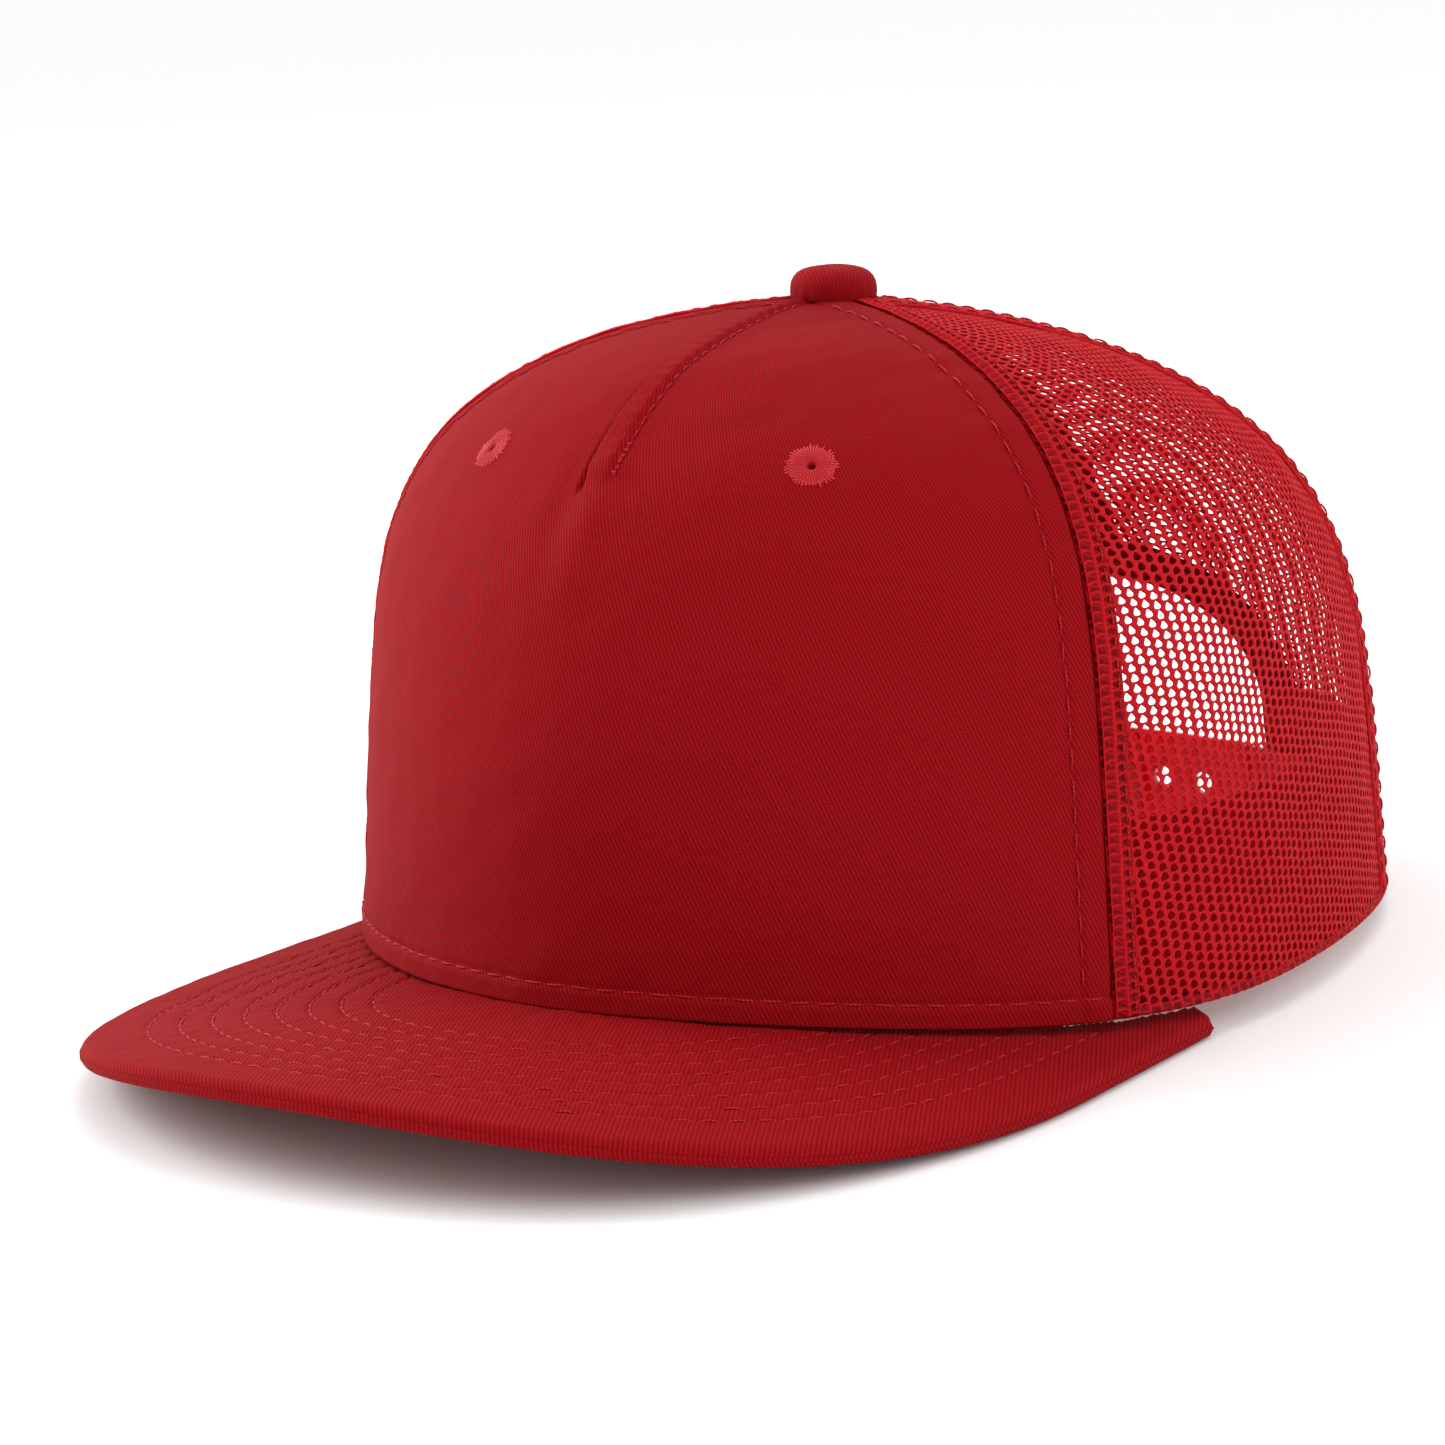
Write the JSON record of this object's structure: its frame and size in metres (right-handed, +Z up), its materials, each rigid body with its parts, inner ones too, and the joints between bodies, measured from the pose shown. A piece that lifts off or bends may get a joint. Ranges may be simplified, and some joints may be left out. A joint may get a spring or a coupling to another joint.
{
  "type": "trucker cap",
  "caption": "Flat-bill trucker cap with a twill front panel, mesh sides and back, and an adjustable snap strap across the back opening.",
  "frame": {"origin": "On the table that the cap rests on, straight below the top button", "axes": "+Z up along the crown's axis, -Y forward along the bill, +X the wearer's left"},
  "size_m": [0.17, 0.2719, 0.1205],
  "materials": {
    "twill": "red cotton twill",
    "mesh": "red polyester mesh",
    "buckram": "stiff woven backing",
    "tape": "red woven tape",
    "sweatband": "red cotton band",
    "thread": "red embroidery thread",
    "board": "moulded polyethylene sheet",
    "tinned_steel": "stamped, thin",
    "snap_plastic": "red, slightly translucent"
  },
  "bodies": {
    "cap": {"arch_binding": "tape", "bill_board": "board", "bill_top_cover": "twill", "bill_under_cover": "twill", "button_core": "tinned_steel", "button_cover": "twill", "button_washer": "tinned_steel", "centre_back_seam_tape": "tape", "front_buckram": "buckram", "front_panel": "twill", "left_back_mesh": "mesh", "left_back_seam_tape": "tape", "left_eyelet": "thread", "left_front_seam_tape": "tape", "left_side_mesh": "mesh", "left_strap_tab": "snap_plastic", "right_back_mesh": "mesh", "right_back_seam_tape": "tape", "right_eyelet": "thread", "right_front_seam_tape": "tape", "right_side_mesh": "mesh", "right_strap_tab": "snap_plastic", "sweatband": "sweatband"},
    "hole_strap": {"hole_strap": "snap_plastic"},
    "peg_strap": {"peg_strap": "snap_plastic"}
  },
  "joints": [
    {"name": "hole_strap_flex", "type": "hinge", "parent": "cap", "child": "hole_strap", "pos_m": [0.0272, 0.1034, 0.0105], "axis": [0, 0, -1], "range_deg": [0, 60]},
    {"name": "peg_strap_flex", "type": "hinge", "parent": "cap", "child": "peg_strap", "pos_m": [-0.0272, 0.1017, 0.0105], "axis": [0, 0, -1], "range_deg": [0, 45]}
  ]
}
